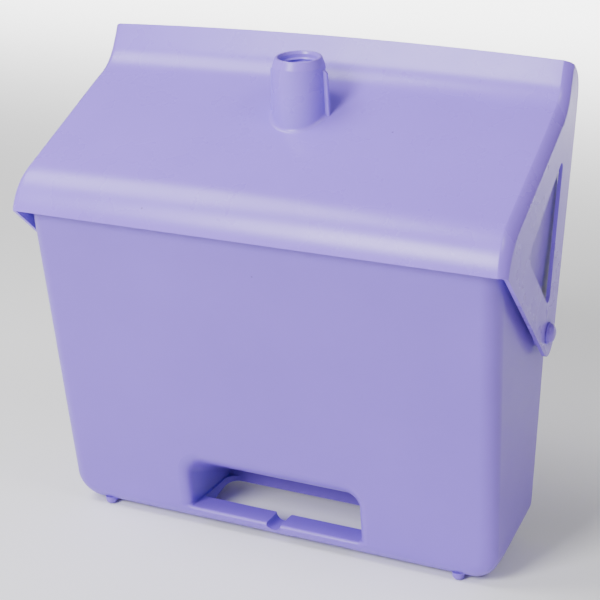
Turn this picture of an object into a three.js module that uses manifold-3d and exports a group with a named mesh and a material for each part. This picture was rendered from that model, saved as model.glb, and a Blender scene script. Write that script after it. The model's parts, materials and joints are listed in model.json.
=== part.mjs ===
// Head of an upright lobby dustpan: a tall tapered pan that hangs on two pivot pins inside a hood.
// The hood carries the screw socket for the handle. Millimetres, +Z up, -Y to the front, +X right.
import * as THREE from 'three';
import { mergeVertices } from 'three/addons/utils/BufferGeometryUtils.js';
import Module from 'manifold-3d';

const wasm = await Module();
wasm.setup();

// Every height is above the tips of the feet. Depths are measured from the foot of the front wall.
const DEPTH_CENTRE = 30.1;

// How far each cutting solid runs on past the faces that it cuts.
const OVERRUN = 20;

// Hood sheet: an S-shaped side outline with a fillet where it turns down into the cheeks.
const HOOD_HALF_WIDTH = 185;
const HOOD_FLARE = 0.02;
const HOOD_WALL = 2.8;
const HOOD_FILLET = 7;
const HOOD_CROWN = 4;
const HOOD_TOP_TAPER = { above: 318, slope: 0.06, behind: 130 };
const HOOD_STEPS = 12;
const LIP_FRONT = -49.2;
const LIP_HEIGHT = 247;
const LIP_ARC = { y: -8.3, z: 239.6, radius: 42 };
const BEND_ARC = { y: 59.3, z: 355.8, radius: 32 };
const SLOPE_ANGLE = THREE.MathUtils.degToRad(26.5);
const PLATE_ANGLE = THREE.MathUtils.degToRad(66.4);
const HOOD_TOP = 360;

// Cheek outline, seen from the side: diagonal arm edge, round tip, leaning rear edge, round top.
const CHEEK_FRONT = { y: -43.3, z: LIP_HEIGHT, radius: 14 };
const CHEEK_TIP = { y: 73.5, z: 144, radius: 12.9 };
const CHEEK_REAR_TOP = { y: 114.8, z: HOOD_TOP, radius: 24 };
const CHEEK_WINDOW = [
  { y: -1, z: 246, radius: 9 },
  { y: 60, z: 193, radius: 5 },
  { y: 80, z: 298, radius: 4 },
];

// Handle socket, leaning a little forward, with a chamfered rim and a thin rib on each side.
const SOCKET = {
  y: 43, z: 356, lean: THREE.MathUtils.degToRad(4.5), rimRadius: 16.4, shoulderRadius: 18.6,
  shoulderDrop: 6, baseRadius: 20.4, length: 75, boreRadius: 13.9, boreDepth: 34, mouthRadius: 14.8,
};
const SOCKET_RIB = { reach: 22.5, thickness: 2.8, top: 8, bottom: 62 };

// Pan: a tapered tub with a leaning front wall and a base that rises towards the rear.
const PAN_WALL = 2.8;
const PAN_BASE = 3.2;
const PAN_BOTTOM_HALF_WIDTH = 171.4;
const PAN_SIDE_DRAFT = 0.0225;
const PAN_FRONT_LEAN = 0.1656;
const PAN_REAR = 84;
const PAN_REAR_LEAN = 0.008;
const PAN_CORNER = 10;
const PAN_REAR_SQUEEZE = 0.4;
const PAN_BOTTOM_CORNER = 20;
const PAN_FRONT_TOP = 249;
const PAN_REAR_TOP = 322;
const PAN_RISE = Math.tan(THREE.MathUtils.degToRad(11));
const PAN_RISE_START = 22;
const PAN_RISE_FADE = 110;
const PAN_STEPS = 8;
const PAN_SWEEP_DEPTH = 100;
const PAN_SWEEP_TOP = 345;

// Grip slot through the foot of the front wall and out of the rising base, with a bar below it.
const GRIP = {
  halfWidth: 69, barTop: 15, barDepth: 18, frontTop: 58, rear: 61, rearTop: 20, cornerRadius: 12,
  exitHalfWidth: 67.5, exitCorner: 10,
};
const TUNNEL_FRONT = -40;
const CEILING_START = -10;
const EXIT_DEPTH = 40;
const NOTCH_RADIUS = 5.8;
const NOTCH_RISE = 0.5;
const NOTCH_LENGTH = 60;
const BAR_CHANNEL = { inner: 10, outer: 60, front: 2.5, rear: 15, top: 12 };

// Feet: domed nubs with a small flat, under the front edge and, taller, under the rising base.
const FOOT_RADIUS = 4.5;
const FOOT_FLAT_ANGLE = THREE.MathUtils.degToRad(21);
const FRONT_FOOT = { x: 143, y: 4.5, height: 5.2 };
const REAR_FOOT = { x: 130, y: 60, height: 11.7 };

// Pivot: a headed pin on each side through cheek and pan wall, held inside by a push-on cap.
const PIVOT = { y: 61, z: 174 };
const PIN_RADIUS = 4;
const PIN_HOLE_RADIUS = 4.4;
const PIN_HOLE_SPAN = { inner: 150, outer: 200 };
const PIN_END = 1.2;
const PIN_HEAD_RADIUS = 8;
const PIN_HEAD_BASE = 1.4;
const PIN_HEAD_HEIGHT = 5;
const BOSS_RADIUS = 10;
const CAP_RADIUS = 8;
const CAP_THICKNESS = 3.4;
const GAP = 0.4;

const PURPLE = 0xa79ee0;

function toSolid(geometry) {
  geometry.deleteAttribute('normal');
  geometry.deleteAttribute('uv');
  const merged = mergeVertices(geometry, 1e-4);
  return new wasm.Manifold(new wasm.Mesh({
    numProp: 3,
    vertProperties: new Float32Array(merged.attributes.position.array),
    triVerts: new Uint32Array(merged.index.array),
  }));
}

function toGeometry(solid) {
  const mesh = solid.getMesh();
  const geometry = new THREE.BufferGeometry();
  geometry.setAttribute('position', new THREE.BufferAttribute(new Float32Array(mesh.vertProperties), 3));
  geometry.setIndex(new THREE.BufferAttribute(new Uint32Array(mesh.triVerts), 1));
  geometry.computeVertexNormals();
  return geometry;
}

// Moves every vertex of a geometry through a function of its place.
function warp(geometry, place) {
  const position = geometry.attributes.position;
  const point = new THREE.Vector3();
  for (let i = 0; i < position.count; i += 1) {
    point.fromBufferAttribute(position, i);
    place(point);
    position.setXYZ(i, point.x, point.y, point.z);
  }
  return geometry;
}

// A closed outline through corners [{ a, b, radius }] with each corner rounded by an arc.
function roundedShape(corners) {
  const shape = new THREE.Shape();
  corners.forEach((corner, index) => {
    const here = new THREE.Vector2(corner.a, corner.b);
    const before = corners[(index + corners.length - 1) % corners.length];
    const after = corners[(index + 1) % corners.length];
    const towardBefore = new THREE.Vector2(before.a, before.b).sub(here).normalize();
    const towardAfter = new THREE.Vector2(after.a, after.b).sub(here).normalize();
    const halfAngle = Math.acos(THREE.MathUtils.clamp(towardBefore.dot(towardAfter), -1, 1)) / 2;
    const reach = (corner.radius ?? 0) / Math.tan(halfAngle);
    const start = here.clone().addScaledVector(towardBefore, reach);
    if (index === 0) shape.moveTo(start.x, start.y);
    else shape.lineTo(start.x, start.y);
    if (reach > 0) {
      const end = here.clone().addScaledVector(towardAfter, reach);
      const toCentre = towardBefore.clone().add(towardAfter).normalize();
      const centre = here.clone().addScaledVector(toCentre, corner.radius / Math.sin(halfAngle));
      const startAngle = Math.atan2(start.y - centre.y, start.x - centre.x);
      const endAngle = Math.atan2(end.y - centre.y, end.x - centre.x);
      const clockwise = towardBefore.cross(towardAfter) > 0;
      shape.absarc(centre.x, centre.y, corner.radius, startAngle, endAngle, clockwise);
    }
  });
  shape.closePath();
  return shape;
}

function sideShape(corners) {
  return roundedShape(corners.map(({ y, z, radius }) => ({ a: y, b: z, radius })));
}

function frontShape(corners) {
  return roundedShape(corners.map(({ x, z, radius }) => ({ a: x, b: z, radius })));
}

// A side outline (y, z) swept across the width, centred on x = 0, with rounded end edges.
function sweepAcross(shape, halfWidth, fillet = 0, steps = 1, curveSegments = 4) {
  const geometry = new THREE.ExtrudeGeometry(shape, {
    depth: 2 * (halfWidth - fillet), steps, curveSegments, bevelEnabled: fillet > 0,
    bevelThickness: fillet, bevelSize: fillet, bevelOffset: -fillet, bevelSegments: 4,
  });
  geometry.translate(0, 0, -(halfWidth - fillet));
  return warp(geometry, (p) => p.set(p.z, p.x, p.y));
}

// A front outline (x, z) swept from depth `front` back to depth `rear`, with rounded end edges.
function sweepBack(shape, front, rear, fillet = 0, steps = 1, curveSegments = 3) {
  const geometry = new THREE.ExtrudeGeometry(shape, {
    depth: rear - front - 2 * fillet, steps, curveSegments, bevelEnabled: fillet > 0,
    bevelThickness: fillet, bevelSize: fillet, bevelOffset: -fillet, bevelSegments: 4,
  });
  geometry.translate(0, 0, fillet - rear);
  return warp(geometry, (p) => p.set(p.x, -p.z, p.y));
}

// A round solid about an axis along X, from a closed profile of [distance out, radius] points.
function turnAlongX(profile, side) {
  const points = profile.map(([out, radius]) => new THREE.Vector2(radius, out));
  const geometry = new THREE.LatheGeometry(points, 32);
  geometry.rotateZ(-side * Math.PI / 2);
  geometry.translate(0, PIVOT.y, PIVOT.z);
  return geometry;
}

function turnedSolid(profile, side) {
  return toSolid(turnAlongX(profile, side));
}

function pinHole(side) {
  const { inner, outer } = PIN_HOLE_SPAN;
  return turnedSolid([[inner, 0], [inner, PIN_HOLE_RADIUS], [outer, PIN_HOLE_RADIUS], [outer, 0]], side);
}

function cheekFace(y) {
  return HOOD_HALF_WIDTH - HOOD_FLARE * (y - LIP_FRONT);
}

// Side outline of the hood's skin, moved inwards by `inset`, and carried on past the trimmed edges.
function hoodOutline(inset) {
  const lipRadius = LIP_ARC.radius - inset;
  const bendRadius = BEND_ARC.radius + inset;
  const below = 110 + inset;
  const above = 390 - inset;
  const behind = 150 - inset;
  const quarter = Math.PI / 2;
  const plateStart = {
    y: BEND_ARC.y + bendRadius * Math.sin(PLATE_ANGLE),
    z: BEND_ARC.z - bendRadius * Math.cos(PLATE_ANGLE),
  };
  const shape = new THREE.Shape();
  shape.moveTo(LIP_ARC.y - lipRadius, below);
  shape.lineTo(LIP_ARC.y - lipRadius, LIP_ARC.z);
  shape.absarc(LIP_ARC.y, LIP_ARC.z, lipRadius, 2 * quarter, quarter + SLOPE_ANGLE, true);
  shape.absarc(BEND_ARC.y, BEND_ARC.z, bendRadius, SLOPE_ANGLE - quarter, PLATE_ANGLE - quarter, false);
  shape.lineTo(plateStart.y + (above - plateStart.z) / Math.tan(PLATE_ANGLE), above);
  shape.lineTo(behind, above);
  shape.lineTo(behind, below);
  shape.closePath();
  return shape;
}

// Bows the sheet upwards between the cheeks, from nothing at the lip to the full crown at the top.
function crown(p) {
  const across = Math.max(1 - (p.x / HOOD_HALF_WIDTH) ** 2, 0);
  const level = THREE.MathUtils.clamp((p.z - LIP_HEIGHT) / (HOOD_TOP - LIP_HEIGHT), 0, 1);
  p.z += HOOD_CROWN * across * level;
}

// Spreads the cheeks towards the lip, and draws the ends of the sheet in towards its top edge.
function spreadCheeks(p) {
  p.x *= cheekFace(p.y) / HOOD_HALF_WIDTH;
  const { above, slope, behind } = HOOD_TOP_TAPER;
  if (p.y < behind) p.x -= Math.sign(p.x) * slope * Math.max(p.z - above, 0);
}

function hoodVolume(inset) {
  const fillet = Math.max(HOOD_FILLET - inset, 3);
  const volume = sweepAcross(hoodOutline(inset), HOOD_HALF_WIDTH - inset, fillet, HOOD_STEPS);
  return toSolid(warp(warp(volume, crown), spreadCheeks));
}

function socketTurn(profile, z) {
  const geometry = new THREE.LatheGeometry(profile.map(([r, h]) => new THREE.Vector2(r, h)), 40);
  geometry.rotateX(Math.PI / 2);
  geometry.translate(0, 0, z);
  geometry.rotateX(SOCKET.lean);
  geometry.translate(0, SOCKET.y, SOCKET.z);
  return toSolid(geometry);
}

function socketRib(side) {
  const { reach, thickness, top, bottom } = SOCKET_RIB;
  const shape = frontShape([
    { x: 0, z: -bottom },
    { x: side * (reach + 1), z: -bottom },
    { x: side * (reach - 2.5), z: -top - 4, radius: 1 },
    { x: side * (reach - 5), z: -top },
    { x: 0, z: -top },
  ]);
  const rib = sweepBack(shape, -thickness / 2, thickness / 2);
  rib.rotateX(SOCKET.lean);
  rib.translate(0, SOCKET.y, SOCKET.z);
  return toSolid(rib);
}

function makeHood() {
  const trim = toSolid(warp(sweepAcross(sideShape([
    { y: -80, z: LIP_HEIGHT },
    CHEEK_FRONT,
    CHEEK_TIP,
    CHEEK_REAR_TOP,
    { y: -80, z: HOOD_TOP },
  ]), HOOD_HALF_WIDTH + OVERRUN, 0, HOOD_STEPS), crown));
  const inside = hoodVolume(HOOD_WALL);
  const windows = toSolid(sweepAcross(sideShape(CHEEK_WINDOW), HOOD_HALF_WIDTH + OVERRUN));
  const sheet = hoodVolume(0).subtract(inside).intersect(trim).subtract(windows);
  const { rimRadius, shoulderRadius, shoulderDrop, baseRadius, length } = SOCKET;
  const outside = socketTurn([
    [0, -length], [baseRadius, -length], [shoulderRadius, -shoulderDrop], [rimRadius, 0], [0, 0],
  ], 0);
  const boss = outside.add(socketRib(1)).add(socketRib(-1)).subtract(inside);
  const { boreRadius, boreDepth, mouthRadius } = SOCKET;
  const bore = socketTurn([
    [0, -boreDepth], [boreRadius, -boreDepth], [boreRadius, -2], [mouthRadius, 0], [mouthRadius, 1], [0, 1],
  ], 0);
  let hood = sheet.add(boss).subtract(bore);
  for (const side of [1, -1]) {
    hood = hood.subtract(pinHole(side));
  }
  return hood;
}

function panHalfWidth(z) {
  return PAN_BOTTOM_HALF_WIDTH + PAN_SIDE_DRAFT * z;
}

// Body of the tub, moved inwards by `inset`, standing taller than its rim.
function panVolume(inset) {
  const halfWidth = PAN_BOTTOM_HALF_WIDTH - inset;
  const corner = PAN_BOTTOM_CORNER - inset;
  const outline = frontShape([
    { x: -halfWidth, z: PAN_BASE + inset, radius: corner },
    { x: halfWidth, z: PAN_BASE + inset, radius: corner },
    { x: halfWidth, z: PAN_SWEEP_TOP },
    { x: -halfWidth, z: PAN_SWEEP_TOP },
  ]);
  const volume = sweepBack(outline, 0, PAN_SWEEP_DEPTH, PAN_CORNER - inset, PAN_STEPS);
  warp(volume, (p) => {
    const behind = p.y - (PAN_SWEEP_DEPTH - PAN_CORNER);
    if (behind > 0) p.y = PAN_SWEEP_DEPTH - (PAN_CORNER - behind) * PAN_REAR_SQUEEZE;
    const front = -PAN_FRONT_LEAN * p.z + inset;
    const rear = PAN_REAR + PAN_REAR_LEAN * p.z - inset;
    const fade = THREE.MathUtils.clamp(1 - (p.z - PAN_BASE) / PAN_RISE_FADE, 0, 1);
    p.x *= (panHalfWidth(p.z) - inset) / halfWidth;
    p.y = front + (rear - front) * (p.y / PAN_SWEEP_DEPTH);
    p.z += PAN_RISE * Math.max(p.y - PAN_RISE_START, 0) * fade;
  });
  return toSolid(volume);
}

function ceiling(y) {
  const back = THREE.MathUtils.clamp((y - CEILING_START) / (GRIP.rear - CEILING_START), 0, 1);
  return THREE.MathUtils.lerp(GRIP.frontTop, GRIP.rearTop, back);
}

// The hand tunnel above the bar; `grow` gives its outer walls, which reach down to the base.
function gripTunnel(grow) {
  const halfWidth = GRIP.halfWidth + grow;
  const floor = grow > 0 ? -OVERRUN : GRIP.barTop;
  const radius = GRIP.cornerRadius + grow;
  const outline = frontShape([
    { x: -halfWidth, z: floor },
    { x: halfWidth, z: floor },
    { x: halfWidth, z: GRIP.frontTop + grow, radius },
    { x: -halfWidth, z: GRIP.frontTop + grow, radius },
  ]);
  const tunnel = sweepBack(outline, TUNNEL_FRONT, GRIP.rear + grow, 0, 9);
  warp(tunnel, (p) => {
    const rise = (p.z - GRIP.barTop) / (GRIP.frontTop + grow - GRIP.barTop);
    if (rise > 0) p.z = GRIP.barTop + rise * (ceiling(p.y) + grow - GRIP.barTop);
  });
  return toSolid(tunnel);
}

// The way out of the tunnel, down through the rising base behind the bar.
function gripExit() {
  const plan = roundedShape([
    { a: -GRIP.exitHalfWidth, b: GRIP.barDepth },
    { a: GRIP.exitHalfWidth, b: GRIP.barDepth },
    { a: GRIP.exitHalfWidth, b: GRIP.rear, radius: GRIP.exitCorner },
    { a: -GRIP.exitHalfWidth, b: GRIP.rear, radius: GRIP.exitCorner },
  ]);
  const options = { depth: EXIT_DEPTH, bevelEnabled: false, curveSegments: 5 };
  const geometry = new THREE.ExtrudeGeometry(plan, options);
  geometry.translate(0, 0, GRIP.barTop + NOTCH_RISE - EXIT_DEPTH);
  return toSolid(geometry);
}

function barChannel(side) {
  const { inner, outer, front, rear, top } = BAR_CHANNEL;
  const box = new THREE.BoxGeometry(outer - inner, rear - front, top + OVERRUN);
  box.translate(side * (inner + outer) / 2, (front + rear) / 2, (top - OVERRUN) / 2);
  return toSolid(box);
}

function foot(side, { x, y, height }) {
  const profile = [new THREE.Vector2(0, 0)];
  for (let step = 0; step <= 5; step += 1) {
    const angle = THREE.MathUtils.lerp(FOOT_FLAT_ANGLE, Math.PI / 2, step / 5);
    const rise = FOOT_RADIUS * (Math.cos(FOOT_FLAT_ANGLE) - Math.cos(angle));
    profile.push(new THREE.Vector2(FOOT_RADIUS * Math.sin(angle), rise));
  }
  profile.push(new THREE.Vector2(FOOT_RADIUS, height), new THREE.Vector2(0, height));
  const geometry = new THREE.LatheGeometry(profile, 20);
  geometry.rotateX(Math.PI / 2);
  geometry.translate(side * x, y, 0);
  return toSolid(geometry);
}

function makePan() {
  const rim = toSolid(sweepAcross(sideShape([
    { y: -90, z: -30 },
    { y: 130, z: -30 },
    { y: 130, z: PAN_REAR_TOP },
    { y: PAN_REAR + PAN_REAR_LEAN * PAN_REAR_TOP, z: PAN_REAR_TOP },
    { y: -PAN_FRONT_LEAN * PAN_FRONT_TOP, z: PAN_FRONT_TOP },
    { y: -90, z: PAN_FRONT_TOP },
  ]), HOOD_HALF_WIDTH + OVERRUN));
  const body = panVolume(0).intersect(rim);
  let pan = body.subtract(panVolume(PAN_WALL).subtract(gripTunnel(PAN_WALL)));
  pan = pan.subtract(gripTunnel(0)).subtract(gripExit());
  const notch = new THREE.CylinderGeometry(NOTCH_RADIUS, NOTCH_RADIUS, NOTCH_LENGTH, 24);
  notch.translate(0, 0, GRIP.barTop + NOTCH_RISE);
  pan = pan.subtract(toSolid(notch));
  for (const side of [1, -1]) {
    pan = pan.subtract(barChannel(side));
    pan = pan.add(foot(side, FRONT_FOOT));
    pan = pan.add(foot(side, REAR_FOOT));
    const wall = panHalfWidth(PIVOT.z);
    const cheekInside = cheekFace(PIVOT.y) - HOOD_WALL;
    pan = pan.add(turnedSolid([
      [wall - 2, 0], [wall - 2, BOSS_RADIUS], [cheekInside - GAP, BOSS_RADIUS - 0.6], [cheekInside - GAP, 0],
    ], side));
    pan = pan.subtract(pinHole(side));
  }
  return pan;
}

const capInner = panHalfWidth(PIVOT.z - CAP_RADIUS) - PAN_WALL - GAP - CAP_THICKNESS;

function makePin(side) {
  const seat = cheekFace(PIVOT.y) + GAP;
  return turnAlongX([
    [capInner - PIN_END, 0],
    [capInner - PIN_END, PIN_RADIUS - 0.8],
    [capInner - 0.4, PIN_RADIUS],
    [seat, PIN_RADIUS],
    [seat, PIN_HEAD_RADIUS],
    [seat + PIN_HEAD_BASE, PIN_HEAD_RADIUS],
    [seat + PIN_HEAD_BASE, PIN_HEAD_RADIUS - 1],
    [seat + PIN_HEAD_HEIGHT - 1.6, PIN_HEAD_RADIUS - 1.6],
    [seat + PIN_HEAD_HEIGHT - 0.5, PIN_HEAD_RADIUS - 3.2],
    [seat + PIN_HEAD_HEIGHT, 0],
  ], side);
}

function makeCap(side) {
  const outer = capInner + CAP_THICKNESS;
  return turnAlongX([
    [capInner, PIN_RADIUS + GAP],
    [capInner, CAP_RADIUS - 1],
    [capInner + 1, CAP_RADIUS],
    [outer, CAP_RADIUS],
    [outer, PIN_RADIUS + GAP],
    [capInner, PIN_RADIUS + GAP],
  ], side);
}

function plastic(roughness) {
  return new THREE.MeshStandardMaterial({ color: PURPLE, roughness, metalness: 0 });
}

const group = new THREE.Group();

function addNode(name, geometry, roughness) {
  const mesh = new THREE.Mesh(geometry, plastic(roughness));
  mesh.name = name;
  mesh.position.y = -DEPTH_CENTRE;
  group.add(mesh);
}

addNode('pan', toGeometry(makePan()), 0.42);
addNode('hood', toGeometry(makeHood()), 0.4);
addNode('pivot_pin_right', makePin(1), 0.35);
addNode('pivot_pin_left', makePin(-1), 0.35);
addNode('pin_cap_right', makeCap(1), 0.35);
addNode('pin_cap_left', makeCap(-1), 0.35);

export default group;
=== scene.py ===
import json
import math

import bmesh
import bpy
import numpy as np
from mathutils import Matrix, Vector, geometry


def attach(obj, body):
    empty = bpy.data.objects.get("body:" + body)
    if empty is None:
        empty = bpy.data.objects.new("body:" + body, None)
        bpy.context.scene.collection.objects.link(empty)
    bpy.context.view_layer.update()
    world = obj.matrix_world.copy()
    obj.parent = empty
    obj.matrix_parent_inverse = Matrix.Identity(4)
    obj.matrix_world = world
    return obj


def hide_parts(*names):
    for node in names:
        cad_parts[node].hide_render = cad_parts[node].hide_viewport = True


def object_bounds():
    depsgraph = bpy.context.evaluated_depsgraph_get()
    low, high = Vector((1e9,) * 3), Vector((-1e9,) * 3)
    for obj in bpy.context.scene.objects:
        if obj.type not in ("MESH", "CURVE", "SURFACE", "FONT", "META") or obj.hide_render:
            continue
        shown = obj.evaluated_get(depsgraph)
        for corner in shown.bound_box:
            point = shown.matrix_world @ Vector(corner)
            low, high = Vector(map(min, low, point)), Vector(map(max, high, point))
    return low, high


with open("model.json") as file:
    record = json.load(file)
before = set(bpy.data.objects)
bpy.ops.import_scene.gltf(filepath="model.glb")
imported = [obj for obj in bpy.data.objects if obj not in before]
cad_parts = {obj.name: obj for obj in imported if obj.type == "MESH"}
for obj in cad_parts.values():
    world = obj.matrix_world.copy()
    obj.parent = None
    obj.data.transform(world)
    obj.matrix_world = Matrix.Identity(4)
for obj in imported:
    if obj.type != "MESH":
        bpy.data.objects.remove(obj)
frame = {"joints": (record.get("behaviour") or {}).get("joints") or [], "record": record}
cad_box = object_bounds()

# Sizes are millimetres, depths count from the foot of the front wall, heights from the floor.
MM = 0.001
MERGE, DEGENERATE, WELD = 2e-6, 1e-6, 1e-7
PIVOT_Z = frame["joints"][0]["pos_m"][2] / MM
PIVOT_Y = 61.0
DEPTH_CENTRE = PIVOT_Y - frame["joints"][0]["pos_m"][1] / MM

# Hood sheet and cheeks
HALF_WIDTH = 185.0
FLARE = 0.02
WALL = 2.8
CROWN = 4.0
TOP_TAPER_FROM, TOP_TAPER_SLOPE = 318.0, 0.06
LIP_CENTRE, LIP_RADIUS = (-8.3, 239.6), 42.0
BEND_CENTRE, BEND_RADIUS = (59.3, 355.8), 32.0
SLOPE, PLATE = math.radians(26.5), math.radians(66.4)
LIP_Z, TOP_Z = 247.0, 360.0
LIP_FRONT = -49.2
CHEEK_FRONT, CHEEK_FRONT_RADIUS = (-46.6, LIP_Z), 8.0
CHEEK_TIP, CHEEK_TIP_RADIUS = (73.5, 144.0), 12.9
CHEEK_TOP, CHEEK_TOP_RADIUS = (114.8, TOP_Z), 24.0
WINDOW = [(-1, 246, 9), (78.5, 297, 4), (60, 193, 5)]
EDGE_BLEND = [(0.0, 6.0), (0.2, 8.0), (0.7, 7.5), (1.0, 6.0)]
BLEND_POWER = 1.35
BLEND_STEPS = 8
LIP_ROWS, LOWER_ROWS, SOCKET_ROWS, BEND_ROWS, PLATE_ROWS = 14, 8, 20, 12, 6
SIDE_COLUMNS = 20
RIM_ROUND = 0.8
TAPER_RELEASE, TAPER_RELEASE_FROM, TAPER_RELEASE_TO = 0.8, 94.0, 112.0
CHEEK_RING = 1.0

# Handle socket
SOCKET_Y, SOCKET_Z, SOCKET_LEAN = 43.0, 356.0, math.radians(4.5)
SOCKET_PATCH = 30.4
SOCKET_FOOT, FOOT_UPHILL_CUT = 4.0, 0.45
FOOT_RISE_TOP, CONE_UPPER = -20.0, -10.0
CONE_TOP, CONE_TOP_DROP, CONE_BASE, CONE_LENGTH = 18.6, 6.0, 20.4, 75.0
RIM_OUTER, MOUTH, BORE, BORE_DEPTH = 16.4, 14.8, 13.9, 34.0
THREAD_PITCH, THREAD_DEPTH, THREAD_STEP = 4.0, 1.3, 0.5
THREAD_START, THREAD_FULL, THREAD_GROOVE = 4.0, 5.5, 0.5
THREAD_CREST, THREAD_WAVE, THREAD_END = 0.45, 0.9, 2.0
RIB_REACH, RIB_HALF, RIB_INNER, RIB_TOP, RIB_BOTTOM = 22.5, 1.4, 16.4, 8.0, 43.2
RIB_SPLAY, RIB_NECK, RIB_TIP, RIB_LIFT, RIB_CHAMFER = 0.5, 0.8, 4.5, 1.0, 0.5

# Pan
PAN_BASE = 3.2
PAN_HALF, PAN_DRAFT = 171.4, 0.0225
PAN_LEAN, PAN_REAR, PAN_REAR_LEAN = 0.1656, 84.0, 0.012
PAN_EDGE, PAN_REAR_EDGE, PAN_CORNER = 12.0, 4.0, 20.0
PAN_NOMINAL_DEPTH = 100.0
PAN_FRONT_TOP, PAN_REAR_TOP = 249.0, 322.0
RISE, RISE_START, RISE_FADE = math.tan(math.radians(11)), 22.0, 110.0
PAN_DEPTH_STEPS = 10

# Grip slot, bar and notch
SLOT_HALF, SLOT_FLOOR, SLOT_TOP, SLOT_CORNER = 69.0, 15.0, 58.0, 12.0
SLOT_BLEND, BAR_BLEND = 8.0, 3.2
TUNNEL_REAR, TUNNEL_REAR_TOP, CEILING_START = 61.0, 20.0, -10.0
MOUTH_AHEAD, MOUTH_ANGLE, TUNNEL_STRAIGHT = 15.0, 6.0, 12.0
CUT_BELOW, CUT_RAISE, BASE_RISE_SHARE = -20.0, 0.5, 0.97
BAR_DEPTH, EXIT_HALF, EXIT_CORNER = 18.0, 67.5, 10.0
NOTCH_RADIUS, NOTCH_BLEND, NOTCH_FRONT, NOTCH_REAR = 5.8, 1.6, -30.0, 50.0
CHANNEL = {"inner": 10.0, "outer": 60.0, "front": 2.5, "rear": 15.0, "top": 12.0}

# Feet, bosses, pins and caps
FOOT_RADIUS, FOOT_FLAT = 4.5, math.radians(21)
FEET = [(143.0, 4.5, 6.0), (130.0, 60.0, 12.0)]
BOSS_RADIUS, BOSS_SINK, HOLE_RADIUS, HOLE_REACH, GAP = 10.0, 2.0, 4.4, 200.0, 0.4
PIN_END, PIN_SHOULDER, PIN_CHAMFER = 1.2, 0.4, 0.8
PIN_RADIUS, HEAD_RADIUS, HEAD_BASE, HEAD_HEIGHT = 4.0, 8.0, 1.4, 5.0
CAP_RADIUS, CAP_THICKNESS = 8.0, 3.4


def smoothstep(low, high, value):
    t = min(max((value - low) / (high - low), 0.0), 1.0)
    return t * t * (3 - 2 * t)


def bisect(function, low, high):
    """Where a function that grows from low to high passes zero."""
    for _ in range(40):
        middle = (low + high) / 2
        if function(middle) > 0:
            high = middle
        else:
            low = middle
    return (low + high) / 2


def arc(centre, radius, start, end, steps):
    return [(centre[0] + radius * math.cos(a), centre[1] + radius * math.sin(a))
            for a in np.linspace(start, end, steps + 1)]


def rounded(corners, steps=8):
    """Closed outline through corners (a, b, radius), with an arc at each corner that has a radius."""
    points = []
    count = len(corners)
    for index, (a, b, radius) in enumerate(corners):
        here = Vector((a, b))
        before = (Vector(corners[index - 1][:2]) - here).normalized()
        after = (Vector(corners[(index + 1) % count][:2]) - here).normalized()
        if radius <= 0:
            points.append((a, b))
            continue
        half = before.angle(after) / 2
        centre = here + (before + after).normalized() * radius / math.sin(half)
        start = here + before * radius / math.tan(half) - centre
        turn = math.pi - 2 * half
        if before.x * after.y - before.y * after.x > 0:
            turn = -turn
        angle = math.atan2(start.y, start.x)
        points += arc(centre, radius, angle, angle + turn, steps)
    return points


class Patches:
    """Collects faces by their corner positions, and welds them into one mesh."""

    def __init__(self):
        self.points = []
        self.faces = []

    def face(self, *corners):
        start = len(self.points)
        self.points += [Vector(c) for c in corners]
        self.faces.append(range(start, start + len(corners)))

    def grid(self, rows, skip=None):
        for i in range(len(rows) - 1):
            for j in range(len(rows[i]) - 1):
                if skip is None or not skip(i, j):
                    self.face(rows[i][j], rows[i][j + 1], rows[i + 1][j + 1], rows[i + 1][j])

    def piece(self, name):
        mesh = bpy.data.meshes.new(name)
        mesh.from_pydata([p * MM for p in self.points], [], [list(f) for f in self.faces])
        build = bmesh.new()
        build.from_mesh(mesh)
        bmesh.ops.remove_doubles(build, verts=build.verts, dist=MERGE)
        bmesh.ops.dissolve_degenerate(build, edges=build.edges, dist=DEGENERATE)
        bmesh.ops.recalc_face_normals(build, faces=build.faces)
        build.to_mesh(mesh)
        build.free()
        piece = bpy.data.objects.new(name, mesh)
        bpy.context.scene.collection.objects.link(piece)
        return piece


def shift(x, y, z):
    return (x, y - DEPTH_CENTRE, z)


def apply_modifiers(piece):
    bpy.context.view_layer.update()
    shaped = piece.evaluated_get(bpy.context.evaluated_depsgraph_get())
    mesh = bpy.data.meshes.new_from_object(shaped)
    piece.modifiers.clear()
    old = piece.data
    piece.data = mesh
    bpy.data.meshes.remove(old)


def cut(piece, tool, operation="DIFFERENCE"):
    modifier = piece.modifiers.new("cut", "BOOLEAN")
    modifier.operation = operation
    modifier.solver = "EXACT"
    modifier.object = tool
    apply_modifiers(piece)
    bpy.data.objects.remove(tool)


def round_edges(piece, width, segments=3, angle=45):
    modifier = piece.modifiers.new("round", "BEVEL")
    modifier.width = width * MM
    modifier.segments = segments
    modifier.limit_method = "ANGLE"
    modifier.angle_limit = math.radians(angle)
    modifier.use_clamp_overlap = True
    apply_modifiers(piece)


def weld(piece):
    """Merges the vertices that the cuts left doubled."""
    build = bmesh.new()
    build.from_mesh(piece.data)
    bmesh.ops.remove_doubles(build, verts=build.verts, dist=WELD)
    build.to_mesh(piece.data)
    build.free()


def finish_shading(piece, angle=35):
    piece.data.polygons.foreach_set("use_smooth", [True] * len(piece.data.polygons))
    piece.data.set_sharp_from_angle(angle=math.radians(angle))
    modifier = piece.modifiers.new("normals", "WEIGHTED_NORMAL")
    modifier.keep_sharp = True
    modifier.weight = 50
    apply_modifiers(piece)


def loft(name, rings):
    """Closed solid through rings of equal length, with a flat cap on both ends."""
    patches = Patches()
    for first, second in zip(rings, rings[1:]):
        patches.grid([first + first[:1], second + second[:1]])
    patches.face(*rings[0])
    patches.face(*rings[-1])
    return patches.piece(name)


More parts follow.
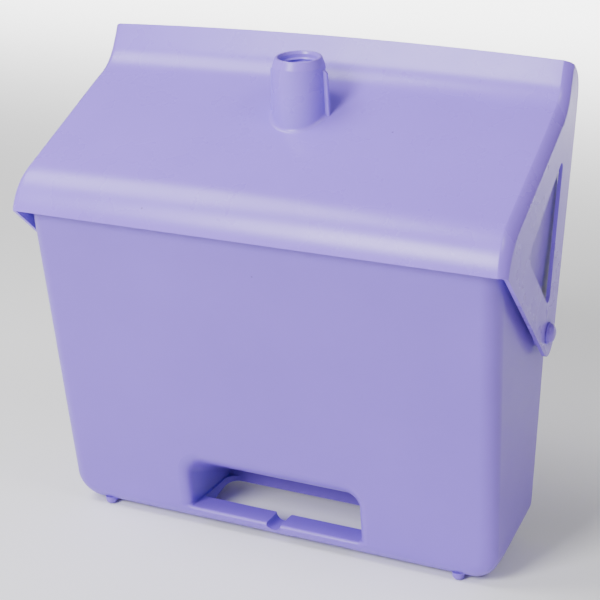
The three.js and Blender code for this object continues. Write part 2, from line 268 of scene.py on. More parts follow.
def lathe(name, profile, origin, axis, across, steps=64):
    """Solid of revolution of (radius, distance along axis) points that start and end on the axis."""
    axis = Vector(axis).normalized()
    across = Vector(across).normalized()
    side = axis.cross(across)
    patches = Patches()
    rows = []
    for radius, height in profile:
        ring = [Vector(origin) + axis * height
                + (across * math.cos(a) + side * math.sin(a)) * radius
                for a in np.linspace(0, 2 * math.pi, steps + 1)[:-1]]
        rows.append(ring + ring[:1])
    patches.grid(rows)
    return patches.piece(name)


# ---------------------------------------------------------------- hood

def trim_below(y):
    """Height of the lip's lower edge, its rounded corner and the cheek's diagonal edge."""
    diagonal = math.atan2(CHEEK_FRONT[1] - CHEEK_TIP[1], CHEEK_TIP[0] - CHEEK_FRONT[0])
    start = CHEEK_FRONT[0] - CHEEK_FRONT_RADIUS * math.tan(diagonal / 2)
    if y <= start:
        return LIP_Z
    if y <= start + CHEEK_FRONT_RADIUS * math.sin(diagonal):
        return LIP_Z - CHEEK_FRONT_RADIUS + math.sqrt(CHEEK_FRONT_RADIUS ** 2 - (y - start) ** 2)
    return LIP_Z - (y - CHEEK_FRONT[0]) * math.tan(diagonal)


def rear_arc():
    """Centre of the cheek's rounded top corner, and the angle where its rear edge leaves it."""
    lean = math.atan2(CHEEK_TOP[1] - CHEEK_TIP[1], CHEEK_TOP[0] - CHEEK_TIP[0])
    reach = CHEEK_TOP_RADIUS / math.tan(lean / 2)
    return (CHEEK_TOP[0] - reach, TOP_Z - CHEEK_TOP_RADIUS), lean - math.pi / 2


def trim_above(y):
    centre = rear_arc()[0]
    if y <= centre[0]:
        return TOP_Z
    return centre[1] + math.sqrt(max(CHEEK_TOP_RADIUS ** 2 - (y - centre[0]) ** 2, 0))


def blend_radius(row_share):
    shares, radii = zip(*EDGE_BLEND)
    return float(np.interp(row_share, shares, radii))


def hood_profile(inset):
    """Side outline of the sheet, moved in by inset, as (y, z) rows from the lip to the top edge."""
    lip, bend = LIP_RADIUS - inset, BEND_RADIUS + inset

    def above_trim(angle):
        y, z = LIP_CENTRE[0] + lip * math.cos(angle), LIP_CENTRE[1] + lip * math.sin(angle)
        return trim_below(y) - z

    start = bisect(above_trim, math.radians(135), math.pi)
    points = arc(LIP_CENTRE, lip, start, math.pi / 2 + SLOPE, LIP_ROWS)
    bend_points = arc(BEND_CENTRE, bend, SLOPE - math.pi / 2, PLATE - math.pi / 2, BEND_ROWS)
    low, high = np.array(points[-1]), np.array(bend_points[0])
    share = 1 - 2 * SOCKET_PATCH / np.linalg.norm(high - low)
    shares = list(np.linspace(0, share, LOWER_ROWS + 1)[1:])
    shares += list(np.linspace(share, 1, SOCKET_ROWS + 1)[1:-1])
    points += [tuple(low + (high - low) * s) for s in shares] + bend_points
    foot = np.array(bend_points[-1])
    along = np.array((math.cos(PLATE), math.sin(PLATE)))
    reach = bisect(lambda t: foot[1] + along[1] * t - trim_above(foot[0] + along[0] * t), 0, 60)
    points += [tuple(foot + along * t) for t in np.linspace(0, reach, PLATE_ROWS + 1)[1:]]
    return points


ROWS = LIP_ROWS + LOWER_ROWS + SOCKET_ROWS + BEND_ROWS + PLATE_ROWS
PROFILES = {}


def profile_point(inset, row):
    key = round(inset, 4)
    if key not in PROFILES:
        PROFILES[key] = hood_profile(key)
    return PROFILES[key][row]


def hood_place(x, y, z):
    """Spreads the cheeks to the lip, draws in the top and crowns the sheet."""
    across = max(1 - (x / HALF_WIDTH) ** 2, 0)
    level = min(max((z - LIP_Z) / (TOP_Z - LIP_Z), 0), 1)
    spread = 1 - FLARE * (y - LIP_FRONT) / HALF_WIDTH
    release = TAPER_RELEASE * smoothstep(TAPER_RELEASE_FROM, TAPER_RELEASE_TO, y)
    drawn = TOP_TAPER_SLOPE * max(z - TOP_TAPER_FROM, 0) * (1 - release)
    x = x * spread - math.copysign(drawn, x) * min(abs(x) / HALF_WIDTH, 1)
    return shift(x, y, z + CROWN * across * level)


def blend_curve(step):
    """Cross-section of the sheet-to-cheek blend: a soft chamfer, from 0 to 1 both ways."""
    angle = step / BLEND_STEPS * math.pi / 2
    power = 2 / BLEND_POWER
    return math.sin(angle) ** power, max(math.cos(angle), 0) ** power


def hood_surface(wall):
    """Rows of points across the sheet and both blends, for the skin (wall 0) or the inside."""
    rows = []
    for row in range(ROWS + 1):
        radius = blend_radius(row / ROWS)
        inner = radius - wall
        straight = HALF_WIDTH - radius
        points = []
        for step in range(BLEND_STEPS, 0, -1):
            out, keep = blend_curve(step)
            y, z = profile_point(wall + inner * (1 - keep), row)
            points.append((-(straight + inner * out), y, z))
        y, z = profile_point(wall, row)
        outer = list(np.linspace(straight, SOCKET_PATCH, SIDE_COLUMNS + 1))
        middle = list(np.linspace(SOCKET_PATCH, -SOCKET_PATCH, SOCKET_ROWS + 1)[1:-1])
        points += [(-x, y, z) for x in outer]
        points += [(-x, y, z) for x in middle]
        points += [(x, y, z) for x in reversed(outer)]
        for step in range(1, BLEND_STEPS + 1):
            out, keep = blend_curve(step)
            y, z = profile_point(wall + inner * (1 - keep), row)
            points.append((straight + inner * out, y, z))
        rows.append([hood_place(*p) for p in points])
    return rows


def cheek_outline():
    """Closed (y, z) loop of the cheek: up the blend's edge, round the back, the tip and the front."""
    front = [profile_point(blend_radius(row / ROWS), row) for row in range(ROWS + 1)]
    centre, leave = rear_arc()
    top = front[-1]
    enter = math.atan2(top[1] - centre[1], top[0] - centre[0])
    back = arc(centre, CHEEK_TOP_RADIUS, enter, leave, 14)[1:]
    tip = rounded([(*CHEEK_TOP, 0), (*CHEEK_TIP, CHEEK_TIP_RADIUS), (*CHEEK_FRONT, 0)], 14)[1:-1]
    diagonal = math.atan2(CHEEK_FRONT[1] - CHEEK_TIP[1], CHEEK_TIP[0] - CHEEK_FRONT[0])
    corner_y = CHEEK_FRONT[0] + CHEEK_FRONT_RADIUS * (math.sin(diagonal) - math.tan(diagonal / 2))
    low = (corner_y, trim_below(corner_y))
    start = front[0]
    path = back + subdivide(back[-1], tip[0], 16) + tip
    if start[0] < corner_y - 0.5:
        path += subdivide(tip[-1], low, 14) + [low]
        path += [(y, trim_below(y)) for y in np.linspace(corner_y, start[0], 5)[1:-1]]
    else:
        path += subdivide(tip[-1], start, 14)
    return front, path


def subdivide(first, last, steps):
    return [tuple(np.array(first) + (np.array(last) - np.array(first)) * t)
            for t in np.linspace(0, 1, steps + 1)[1:-1]]


def offset_loop(loop, distance):
    """Loop moved to its left by a distance."""
    moved = []
    count = len(loop)
    for index in range(count):
        here = Vector(loop[index])
        ahead = (Vector(loop[(index + 1) % count]) - here).normalized()
        behind = (here - Vector(loop[index - 1])).normalized()
        normal = Vector((-ahead.y - behind.y, ahead.x + behind.x)).normalized()
        scale = max(normal.dot(Vector((-ahead.y, ahead.x))), 0.4)
        moved.append(tuple(here + normal * distance / scale))
    return moved


def turns_left(loop):
    return sum(a[0] * b[1] - b[0] * a[1] for a, b in zip(loop, loop[1:] + loop[:1])) > 0


def inside(point, loop):
    odd = False
    for (ay, az), (by, bz) in zip(loop, loop[1:] + loop[:1]):
        if (az > point[1]) != (bz > point[1]):
            if point[0] < ay + (point[1] - az) / (bz - az) * (by - ay):
                odd = not odd
    return odd


def cheek_fill(outer, window):
    """Flat faces of the cheek between its outline and its window, as lists of (y, z) corners."""
    ring = offset_loop(outer, CHEEK_RING if turns_left(outer) else -CHEEK_RING)
    window_ring = offset_loop(window, -CHEEK_RING if turns_left(window) else CHEEK_RING)
    faces = []
    for loop, near in ((outer, ring), (window, window_ring)):
        count = len(loop)
        faces += [[loop[i], loop[(i + 1) % count], near[(i + 1) % count], near[i]]
                  for i in range(count)]
    points = [Vector(p) for p in ring + window_ring]
    total, split = len(points), len(ring)
    edges = [(i, (i + 1) % split) for i in range(split)]
    edges += [(split + i, split + (i + 1) % (total - split)) for i in range(total - split)]
    found, _, triangles, _, _, _ = geometry.delaunay_2d_cdt(points, edges, [], 0, 1e-5)
    for triangle in triangles:
        corners = [tuple(found[i]) for i in triangle]
        middle = np.mean(corners, axis=0)
        if inside(middle, ring) and not inside(middle, window_ring):
            faces.append(corners)
    return faces


def add_cheeks(patches):
    front, path = cheek_outline()
    outer = front + path
    window = rounded(WINDOW, 10)
    faces = cheek_fill(outer, window)
    trimmed = [front[-1]] + path + [front[0]]
    for side in (-1, 1):
        for depth in (0, WALL):
            x = side * (HALF_WIDTH - depth)
            for corners in faces:
                patches.face(*[hood_place(x, y, z) for y, z in corners])
        for loop in (trimmed, window + window[:1]):
            for first, second in zip(loop, loop[1:]):
                patches.face(
                    hood_place(side * HALF_WIDTH, *first), hood_place(side * HALF_WIDTH, *second),
                    hood_place(side * (HALF_WIDTH - WALL), *second),
                    hood_place(side * (HALF_WIDTH - WALL), *first))


def socket_axes():
    up = Vector((0, -math.sin(SOCKET_LEAN), math.cos(SOCKET_LEAN)))
    back = Vector((0, math.cos(SOCKET_LEAN), math.sin(SOCKET_LEAN)))
    return Vector(shift(0, SOCKET_Y, SOCKET_Z)), up, back


def cone_radius(height):
    return CONE_TOP + (-height - CONE_TOP_DROP) * (CONE_BASE - CONE_TOP) / (CONE_LENGTH - CONE_TOP_DROP)


def add_socket(patches, skin, first_row, first_column):
    """Cone, rounded foot, rim and threaded bore, stitched into the square left open in the sheet."""
    origin, up, back = socket_axes()
    across = Vector((1, 0, 0))
    last_row, last_column = first_row + SOCKET_ROWS, first_column + SOCKET_ROWS
    edge = [(first_row, c) for c in range(first_column, last_column)]
    edge += [(r, last_column) for r in range(first_row, last_row)]
    edge += [(last_row, c) for c in range(last_column, first_column, -1)]
    edge += [(r, first_column) for r in range(last_row, first_row, -1)]
    square = [Vector(skin[r][c]) for r, c in edge]
    low_corner = Vector(skin[first_row][first_column])
    normal = (Vector(skin[last_row][first_column]) - low_corner).cross(
        Vector(skin[first_row][last_column]) - low_corner).normalized()
    if normal.z < 0:
        normal = -normal
    middle = Vector(skin[(first_row + last_row) // 2][(first_column + last_column) // 2])
    drop = normal.dot(middle - origin) / normal.dot(up)
    angles = []
    for point in square:
        away = point - (origin + up * drop)
        angles.append(math.atan2(away.dot(back), away.dot(across)))

    def place(angle, radius, height):
        return origin + (across * math.cos(angle) + back * math.sin(angle)) * radius + up * height

    foot_rows = []
    for angle in angles:
        direction = across * math.cos(angle) + back * math.sin(angle)
        climb = -normal.dot(direction) / normal.dot(up)
        radius = bisect(lambda r: r - cone_radius(drop + climb * r), 10, 40)
        crease = Vector((radius, drop + climb * radius))
        wall = Vector((cone_radius(1) - cone_radius(0), 1)).normalized()
        sheet = Vector((1, climb)).normalized()
        half = wall.angle(sheet) / 2
        bend = SOCKET_FOOT * (1 - FOOT_UPHILL_CUT * max(math.sin(angle), 0))
        centre = crease + (wall + sheet).normalized() * bend / math.sin(half)
        start = crease + sheet * bend / math.tan(half) - centre
        end = crease + wall * bend / math.tan(half) - centre
        foot = [place(angle, *(centre + start.slerp(end, t) * bend)) for t in np.linspace(0, 1, 10)]
        top = centre + end
        rise = [place(angle, cone_radius(h), h) for h in np.linspace(top.y, FOOT_RISE_TOP, 5)[1:]]
        foot_rows.append(foot + rise)
    columns = []
    for point, rows in zip(square, foot_rows):
        flat = [point.lerp(rows[0], t) for t in np.linspace(0, 1, 7)[:-1]]
        columns.append(flat + rows)
    patches.grid(columns + columns[:1])
    outline = rounded([(CONE_TOP + 1, -40, 0), (CONE_TOP, -CONE_TOP_DROP, 2.5), (RIM_OUTER, 0, 0.9),
                       (MOUTH, 0, 0.5), (BORE, -2, 0.8), (BORE, -THREAD_START, 0),
                       (0, -THREAD_START, 0)], 4)[1:-1]
    rings = [[(cone_radius(h), h)] * len(angles) for h in np.linspace(FOOT_RISE_TOP, CONE_UPPER, 3)]
    rings += [[point] * len(angles) for point in outline]
    for height in np.arange(-THREAD_START - THREAD_STEP, -BORE_DEPTH + THREAD_END, -THREAD_STEP):
        fade = smoothstep(THREAD_START, THREAD_FULL, -height)
        ring = []
        for angle in angles:
            phase = height / THREAD_PITCH + angle / (2 * math.pi)
            crest = min(max(THREAD_CREST + THREAD_WAVE * math.cos(2 * math.pi * phase), 0), 1)
            radius = BORE + THREAD_GROOVE - THREAD_DEPTH * crest * fade - THREAD_GROOVE * (1 - fade)
            ring.append((radius, height))
        rings.append(ring)
    rings.append([(BORE, -BORE_DEPTH)] * len(angles))
    placed = [[place(a, *p) for a, p in zip(angles, ring)] for ring in rings]
    patches.grid([ring + ring[:1] for ring in placed])
    patches.face(*placed[-1])


def pivot_hole():
    profile = [(0, -HOLE_REACH), (HOLE_RADIUS, -HOLE_REACH), (HOLE_RADIUS, HOLE_REACH), (0, HOLE_REACH)]
    return lathe("hole", profile, shift(0, PIVOT_Y, PIVOT_Z), (1, 0, 0), (0, 1, 0))


def make_rib(side):
    origin, up, back = socket_axes()
    outline = rounded([
        (RIB_INNER, -RIB_BOTTOM, 0), (RIB_REACH + RIB_SPLAY, -RIB_BOTTOM, 0),
        (RIB_REACH - RIB_NECK, -RIB_TOP - 2, 2.5), (RIB_REACH - RIB_TIP, -RIB_TOP + RIB_LIFT, 1),
        (RIB_INNER, -RIB_TOP + RIB_LIFT, 0)], 6)
    rings = []
    flat = RIB_HALF - RIB_CHAMFER
    for depth, shrink in ((-RIB_HALF, RIB_CHAMFER), (-flat, 0), (flat, 0), (RIB_HALF, RIB_CHAMFER)):
        rings.append([origin + Vector((side * (x - shrink), 0, 0)) + up * h + back * depth
                      for x, h in outline])
    return loft("rib", rings)


def make_hood():
    skin = hood_surface(0)
    under = hood_surface(WALL)
    first_row = LIP_ROWS + LOWER_ROWS
    first_column = BLEND_STEPS + SIDE_COLUMNS
    patches = Patches()

    def socket_square(row, column):
        return (first_row <= row < first_row + SOCKET_ROWS
                and first_column <= column < first_column + SOCKET_ROWS)

    patches.grid(skin, socket_square)
    patches.grid(under)
    patches.grid([skin[0], under[0]])
    patches.grid([skin[-1], under[-1]])
    add_cheeks(patches)
    add_socket(patches, skin, first_row, first_column)
    hood = patches.piece("hood_shell")
    cut(hood, pivot_hole())
    round_edges(hood, RIM_ROUND)
    for side in (-1, 1):
        cut(hood, make_rib(side), "UNION")
    return hood


# ---------------------------------------------------------------- pan

def pan_half(z):
    return PAN_HALF + PAN_DRAFT * z


def pan_place(x, z, share, inset):
    """Leans the walls, tapers the sides and lifts the rear of the base."""
    front = -PAN_LEAN * z + inset
    rear = PAN_REAR + PAN_REAR_LEAN * z - inset
    y = front + (rear - front) * share
    fade = min(max(1 - (z - PAN_BASE) / RISE_FADE, 0), 1)
    x = x * (pan_half(z) - inset) / (PAN_HALF - inset)
    return shift(x, y, z + RISE * max(y - RISE_START, 0) * fade)


def rim_height(share, inset):
    """Height at which a column of the wall meets the slanting rim."""
    climb = (PAN_REAR_TOP - PAN_FRONT_TOP) / (
        PAN_REAR + PAN_REAR_LEAN * PAN_REAR_TOP + PAN_LEAN * PAN_FRONT_TOP)
    gain = -PAN_LEAN + (PAN_REAR_LEAN + PAN_LEAN) * share
    base = inset + (PAN_REAR - 2 * inset) * share
    return (PAN_FRONT_TOP + climb * (base + PAN_LEAN * PAN_FRONT_TOP)) / (1 - climb * gain)


def pan_ring(share, pull, inset):
    """U-shaped row of points round one slice of the tub, from rim to rim."""
    half = PAN_HALF - inset - pull
    base = PAN_BASE + inset + pull
    corner = PAN_CORNER - inset - pull
    top = rim_height(share, inset)
    sides = np.linspace(top, base + corner, 13)
    left = [(-half, z) for z in sides[:-1]]
    bend = arc((-half + corner, base + corner), corner, math.pi, 1.5 * math.pi, 10)
    floor = subdivide(bend[-1], (half - corner, base), 12)
    other = arc((half - corner, base + corner), corner, 1.5 * math.pi, 2 * math.pi, 10)
    right = [(half, z) for z in reversed(sides[:-1])]
    return [pan_place(x, z, share, inset) for x, z in left + bend + floor + other + right]


def pan_slices(inset):
    """Depth share and side pull of each slice, rounded towards the front and the rear wall."""
    front, rear = PAN_EDGE - inset, PAN_REAR_EDGE - inset
    slices = []
    for angle in np.linspace(0, math.pi / 2, 9):
        slices.append((front * (1 - math.cos(angle)) / PAN_NOMINAL_DEPTH, front * (1 - math.sin(angle))))
    ends = front / PAN_NOMINAL_DEPTH, 1 - rear / PAN_NOMINAL_DEPTH
    slices += [(share, 0) for share in np.linspace(*ends, PAN_DEPTH_STEPS + 1)[1:-1]]
    for angle in np.linspace(math.pi / 2, 0, 7):
        slices.append((1 - rear * (1 - math.cos(angle)) / PAN_NOMINAL_DEPTH, rear * (1 - math.sin(angle))))
    return slices


def ceiling(y):
    share = min(max((y - CEILING_START) / (TUNNEL_REAR - CEILING_START), 0), 1)
    return SLOT_TOP + (TUNNEL_REAR_TOP - SLOT_TOP) * share


def base_middle(y):
    return PAN_BASE + WALL / 2 + RISE * max(y - RISE_START, 0) * BASE_RISE_SHARE


def tunnel_block():
    """Solid that the grip tunnel is cut from, between the middles of the front wall and the base."""
    half, top = SLOT_HALF + WALL, SLOT_TOP + WALL
    outline = rounded([(-half, SLOT_FLOOR, 0), (half, SLOT_FLOOR, 0), (half, top, SLOT_CORNER + WALL),
                       (-half, top, SLOT_CORNER + WALL)], 8)
    rings = []
    for depth in np.linspace(0, 1, 12):
        ring = []
        for x, z in outline:
            front = -PAN_LEAN * z + WALL / 2
            y = front + (TUNNEL_REAR + WALL - front) * depth
            rise = (z - SLOT_FLOOR) / (top - SLOT_FLOOR)
            height = SLOT_FLOOR + rise * (ceiling(y) + WALL - SLOT_FLOOR) if rise > 0 else base_middle(y)
            ring.append(shift(x, y, height))
        rings.append(ring)
    block = loft("block", rings)
    core = loft("core", [pan_ring(share, pull, WALL / 2) for share, pull in pan_slices(WALL / 2)])
    cut(block, core, "INTERSECT")
    return block


def tunnel_cutter():
    """Hollow of the grip tunnel, with a mouth that flares into the front wall and over the bar."""
    outline = rounded([(-SLOT_HALF, SLOT_FLOOR, 1.5), (SLOT_HALF, SLOT_FLOOR, 1.5),
                       (SLOT_HALF, SLOT_TOP, SLOT_CORNER), (-SLOT_HALF, SLOT_TOP, SLOT_CORNER)], 10)
    outer = offset_loop(outline, -1 if turns_left(outline) else 1)
    normals = [(b[0] - a[0], b[1] - a[1]) for a, b in zip(outline, outer)]
    rings = []
    for ahead, angle in [(MOUTH_AHEAD, MOUTH_ANGLE)] + [(0, a) for a in np.linspace(MOUTH_ANGLE, 90, 10)]:
        angle = math.radians(angle)
        ring = []
        for (x, z), (nx, nz) in zip(outline, normals):
            radius = BAR_BLEND if nz < -0.3 else SLOT_BLEND
            spread = 1 - math.sin(angle)
            depth = (BAR_BLEND + (SLOT_BLEND - BAR_BLEND) * smoothstep(-0.9, 0.2, nz)) * (1 - math.cos(angle))
            rise = (z - SLOT_FLOOR) / (SLOT_TOP - SLOT_FLOOR)
            z_in = SLOT_FLOOR + rise * (ceiling(depth - PAN_LEAN * z) - SLOT_FLOOR)
            z_out = z_in + nz * radius * spread
            y = -PAN_LEAN * z_out + depth - ahead
            ring.append(shift(x + nx * SLOT_BLEND * spread, y, z_out))
        rings.append(ring)
    for y in np.linspace(TUNNEL_STRAIGHT, TUNNEL_REAR, 10):
        ring = []
        for x, z in outline:
            rise = (z - SLOT_FLOOR) / (SLOT_TOP - SLOT_FLOOR)
            ring.append(shift(x, y, SLOT_FLOOR + rise * (ceiling(y) - SLOT_FLOOR)))
        rings.append(ring)
    return loft("tunnel", rings)


def upright_prism(name, outline, low, high):
    return loft(name, [[shift(x, y, z) for x, y in outline] for z in (low, high)])


def exit_cutter():
    return upright_prism("exit", rounded([
        (-EXIT_HALF, BAR_DEPTH, 1), (EXIT_HALF, BAR_DEPTH, 1),
        (EXIT_HALF, TUNNEL_REAR, EXIT_CORNER), (-EXIT_HALF, TUNNEL_REAR, EXIT_CORNER)], 8),
        CUT_BELOW, SLOT_FLOOR + CUT_RAISE)


def channel_cutter(side):
    inner, outer = side * CHANNEL["inner"], side * CHANNEL["outer"]
    low, high = min(inner, outer), max(inner, outer)
    return upright_prism("channel", rounded([
        (low, CHANNEL["front"], 2), (high, CHANNEL["front"], 2),
        (high, CHANNEL["rear"], 2), (low, CHANNEL["rear"], 2)], 5), CUT_BELOW, CHANNEL["top"])


def notch_cutter():
    wide = NOTCH_RADIUS + NOTCH_BLEND
    front = -PAN_LEAN * SLOT_FLOOR
    profile = [(0, NOTCH_FRONT), (wide, NOTCH_FRONT)]
    profile += [(NOTCH_RADIUS + NOTCH_BLEND * (1 - math.sin(a)), front + NOTCH_BLEND * (1 - math.cos(a)))
                for a in np.linspace(0, math.pi / 2, 6)]
    profile += [(NOTCH_RADIUS + NOTCH_BLEND * (1 - math.sin(a)), BAR_DEPTH - NOTCH_BLEND * (1 - math.cos(a)))
                for a in np.linspace(math.pi / 2, 0, 6)]
    profile += [(wide, NOTCH_REAR), (0, NOTCH_REAR)]
    return lathe("notch", profile, shift(0, 0, SLOT_FLOOR + CUT_RAISE), (0, 1, 0), (1, 0, 0), 48)


def foot(x, y, height):
    profile = [(0, 0)]
    for angle in np.linspace(FOOT_FLAT, math.pi / 2, 10):
        profile.append((FOOT_RADIUS * math.sin(angle), FOOT_RADIUS * (math.cos(FOOT_FLAT) - math.cos(angle))))
    profile += [(FOOT_RADIUS, height), (0, height)]
    return lathe("foot", profile, shift(x, y, 0), (0, 0, 1), (1, 0, 0), 40)


def cheek_face(y):
    return HALF_WIDTH - FLARE * (y - LIP_FRONT)


def make_pan():
    patches = Patches()
    shells = [[pan_ring(share, pull, inset) for share, pull in pan_slices(inset)] for inset in (0, WALL)]
    for rings in shells:
        patches.grid(rings)
        patches.face(*rings[0])
        patches.face(*rings[-1])
    outer, inner = shells
    for end in (0, -1):
        patches.grid([[ring[end] for ring in outer], [ring[end] for ring in inner]])
        patches.face(outer[end][0], outer[end][-1], inner[end][-1], inner[end][0])
    pan = patches.piece("pan_shell")
    round_edges(pan, RIM_ROUND)
    cut(pan, tunnel_block(), "UNION")
    cut(pan, tunnel_cutter())
    cut(pan, exit_cutter())
    cut(pan, notch_cutter())
    wall = pan_half(PIVOT_Z)
    cheek = cheek_face(PIVOT_Y) - WALL - GAP
    pivot = shift(0, PIVOT_Y, PIVOT_Z)
    for side in (-1, 1):
        cut(pan, channel_cutter(side))
        for x, y, height in FEET:
            cut(pan, foot(side * x, y, height), "UNION")
    boss = [(0, wall - BOSS_SINK), (BOSS_RADIUS, wall - BOSS_SINK), (BOSS_RADIUS - 0.3, cheek - 0.5),
            (BOSS_RADIUS - 0.8, cheek), (0, cheek)]
    for side in (-1, 1):
        cut(pan, lathe("boss", boss, pivot, (side, 0, 0), (0, 1, 0)), "UNION")
    cut(pan, pivot_hole())
    return pan


# ---------------------------------------------------------------- pins and caps

CAP_INNER = pan_half(PIVOT_Z - CAP_RADIUS) - WALL - GAP - CAP_THICKNESS


def make_pin(name, side):
    seat = cheek_face(PIVOT_Y) + GAP
    profile = [(0, CAP_INNER - PIN_END), (PIN_RADIUS - PIN_CHAMFER, CAP_INNER - PIN_END),
               (PIN_RADIUS, CAP_INNER - PIN_SHOULDER),
               (PIN_RADIUS, seat), (HEAD_RADIUS - 0.3, seat), (HEAD_RADIUS, seat + 0.3),
               (HEAD_RADIUS, seat + HEAD_BASE - 0.3), (HEAD_RADIUS - 0.3, seat + HEAD_BASE),
               (HEAD_RADIUS - 0.8, seat + HEAD_BASE)]
    dome = HEAD_RADIUS - 0.9
    for angle in np.linspace(0, math.pi / 2, 12):
        profile.append((dome * math.cos(angle) ** 0.8,
                        seat + HEAD_BASE + (HEAD_HEIGHT - HEAD_BASE) * math.sin(angle)))
    profile[-1] = (0, seat + HEAD_HEIGHT)
    return lathe(name, profile, shift(0, PIVOT_Y, PIVOT_Z), (side, 0, 0), (0, 1, 0))


def make_cap(name, side):
    low, high = CAP_INNER, CAP_INNER + CAP_THICKNESS
    inner, outer = PIN_RADIUS + GAP, CAP_RADIUS
    profile = rounded([(inner, low, 0.3), (outer, low, 1.2), (outer, high, 0.3), (inner, high, 0.3)], 5)
    return lathe(name, profile + profile[:1], shift(0, PIVOT_Y, PIVOT_Z), (side, 0, 0), (0, 1, 0))


# ---------------------------------------------------------------- materials

# The default view greys colours, so each channel of the record's colour is scaled to make up for it.
SATURATE = (0.66, 0.41, 1.0)
IOR, SPECULAR = 1.49, 0.42
GRAIN_STRENGTH, GRAIN_DEPTH = 0.22, 0.0002


def plastic(name, slot, roughness, lighten):
    """Satin polypropylene: faint mottling, fine mould grain, a few specks and uneven gloss."""
    colour = next(m["base_color"] for m in frame["record"]["materials"] if m["slot"] == slot)
    material = bpy.data.materials.new(name)
    material.use_nodes = True
    nodes, links = material.node_tree.nodes, material.node_tree.links
    shader = nodes["Principled BSDF"]
    shader.inputs["IOR"].default_value = IOR
    shader.inputs["Specular IOR Level"].default_value = SPECULAR
    place = nodes.new("ShaderNodeTexCoord")

    def noise(scale, detail):
        node = nodes.new("ShaderNodeTexNoise")
        node.inputs["Scale"].default_value = scale
        node.inputs["Detail"].default_value = detail
        links.new(place.outputs["Object"], node.inputs["Vector"])
        return node.outputs["Fac"]

    def ramp(source, stops):
        node = nodes.new("ShaderNodeValToRGB")
        for index, (position, value) in enumerate(stops):
            stop = node.color_ramp.elements[index]
            stop.position = position
            stop.color = (*value, 1) if isinstance(value, tuple) else (value, value, value, 1)
        links.new(source, node.inputs["Fac"])
        return node.outputs["Color"]

    colour = [min(c * k * lighten, 0.8) for c, k in zip(colour, SATURATE)]
    light = tuple(min(c * 1.03, 1) for c in colour)
    dark = tuple(c * 0.96 for c in colour)
    mottled = ramp(noise(9, 4), [(0.3, dark), (0.7, light)])
    speck = nodes.new("ShaderNodeTexVoronoi")
    speck.inputs["Scale"].default_value = 24
    links.new(place.outputs["Object"], speck.inputs["Vector"])
    spots = ramp(speck.outputs["Distance"], [(0.012, 1.0), (0.02, 0.0)])
    tint = nodes.new("ShaderNodeMix")
    tint.data_type = "RGBA"
    links.new(spots, tint.inputs[0])
    links.new(mottled, tint.inputs[6])
    tint.inputs[7].default_value = (*[c * 0.55 for c in colour], 1)
    links.new(tint.outputs[2], shader.inputs["Base Color"])
    gloss = nodes.new("ShaderNodeMapRange")
    gloss.inputs["To Min"].default_value = roughness - 0.04
    gloss.inputs["To Max"].default_value = roughness + 0.06
    links.new(noise(35, 5), gloss.inputs["Value"])
    links.new(gloss.outputs["Result"], shader.inputs["Roughness"])
    grain = nodes.new("ShaderNodeBump")
    grain.inputs["Strength"].default_value = GRAIN_STRENGTH
    grain.inputs["Distance"].default_value = GRAIN_DEPTH
    links.new(noise(1400, 2), grain.inputs["Height"])
    links.new(grain.outputs["Normal"], shader.inputs["Normal"])
    return material


def dress(piece, body, slot, material, *nodes):
    piece.data.materials.clear()
    piece.data.materials.append(material)
    weld(piece)
    finish_shading(piece)
    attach(piece, body)
    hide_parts(*nodes)


# ---------------------------------------------------------------- studio

CAMERA_AZIMUTH, CAMERA_PITCH = math.radians(24.822), math.radians(19.513)
CAMERA_DISTANCE = 1.1566
CAMERA_LENS, SENSOR = 96.0, 36.0
AIM_SHIFT = Vector((0.0059, 0.0027, 0))
FLOOR_HALF = 6.0
WORLD, KEY, TOP, BACK, FILL = 0.30, 78.0, 34.0, 330.0, 12.0


def make_camera():
    low, high = cad_box
    middle = (Vector(low) + Vector(high)) / 2
    forward = Vector((-math.sin(CAMERA_AZIMUTH) * math.cos(CAMERA_PITCH),
                      math.cos(CAMERA_AZIMUTH) * math.cos(CAMERA_PITCH), -math.sin(CAMERA_PITCH)))
    data = bpy.data.cameras.new("camera")
    data.lens = CAMERA_LENS
    data.sensor_width = SENSOR
    data.clip_start = 0.05
    camera = bpy.data.objects.new("camera", data)
    bpy.context.scene.collection.objects.link(camera)
    aim = middle + AIM_SHIFT
    camera.location = aim - forward * CAMERA_DISTANCE
    camera.rotation_euler = forward.to_track_quat("-Z", "Y").to_euler()
    bpy.context.scene.camera = camera


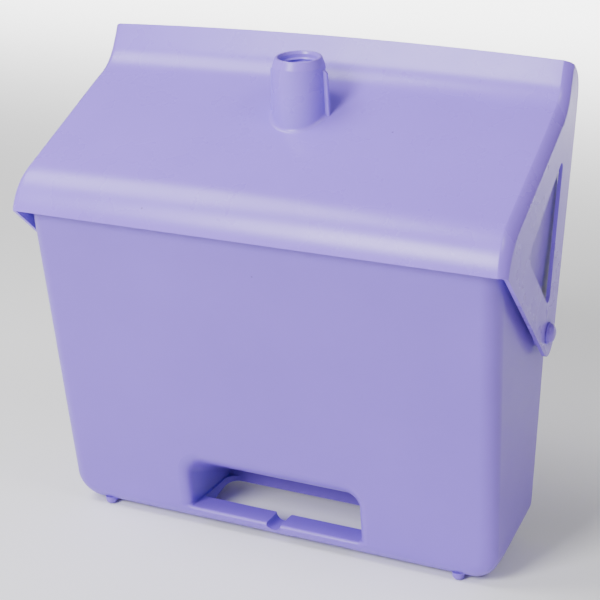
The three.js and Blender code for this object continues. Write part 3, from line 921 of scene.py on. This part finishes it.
def area_light(name, place, aim, size, power, spread=180):
    data = bpy.data.lights.new(name, "AREA")
    data.shape = "RECTANGLE"
    data.size, data.size_y = size
    data.energy = power
    data.spread = math.radians(spread)
    light = bpy.data.objects.new(name, data)
    light.location = place
    light.rotation_euler = (Vector(aim) - Vector(place)).to_track_quat("-Z", "Y").to_euler()
    bpy.context.scene.collection.objects.link(light)


def make_studio():
    mesh = bpy.data.meshes.new("floor")
    corners = [(a * FLOOR_HALF, b * FLOOR_HALF, 0) for a, b in ((-1, -1), (1, -1), (1, 1), (-1, 1))]
    mesh.from_pydata(corners, [], [(0, 1, 2, 3)])
    floor = bpy.data.objects.new("floor", mesh)
    bpy.context.scene.collection.objects.link(floor)
    material = bpy.data.materials.new("floor")
    material.use_nodes = True
    shader = material.node_tree.nodes["Principled BSDF"]
    shader.inputs["Base Color"].default_value = (0.95, 0.95, 0.95, 1)
    shader.inputs["Roughness"].default_value = 0.9
    floor.data.materials.append(material)
    world = bpy.data.worlds.new("studio")
    world.use_nodes = True
    world.node_tree.nodes["Background"].inputs["Color"].default_value = (1, 1, 1, 1)
    world.node_tree.nodes["Background"].inputs["Strength"].default_value = WORLD
    bpy.context.scene.world = world
    area_light("key", (-0.7, -2.1, 1.5), (0, 0, 0.2), (0.9, 0.9), KEY)
    area_light("top", (-1.0, -0.5, 1.9), (0, 0, 0.2), (0.9, 0.9), TOP)
    area_light("fill", (1.5, -0.5, 2.0), (0, 0, 0.3), (0.5, 0.5), FILL)
    area_light("back", (0, 3.4, 2.6), (0, 3.401, 0), (5, 3.6), BACK, 50)


make_camera()
make_studio()
pan_plastic = plastic("pan_plastic", "pan_plastic", 0.32, 0.9)
hood_plastic = plastic("hood_plastic", "hood_plastic", 0.27, 1.06)
pin_plastic = plastic("pin_plastic", "pin_plastic", 0.28, 1.0)
dress(make_hood(), "hood", "hood_plastic", hood_plastic, "hood")
dress(make_pan(), "pan", "pan_plastic", pan_plastic, "pan")
for label, sign in (("right", 1), ("left", -1)):
    dress(make_pin(f"pin_{label}", sign), "pan", "pin_plastic", pin_plastic, f"pivot_pin_{label}")
    dress(make_cap(f"cap_{label}", sign), "pan", "pin_plastic", pin_plastic, f"pin_cap_{label}")
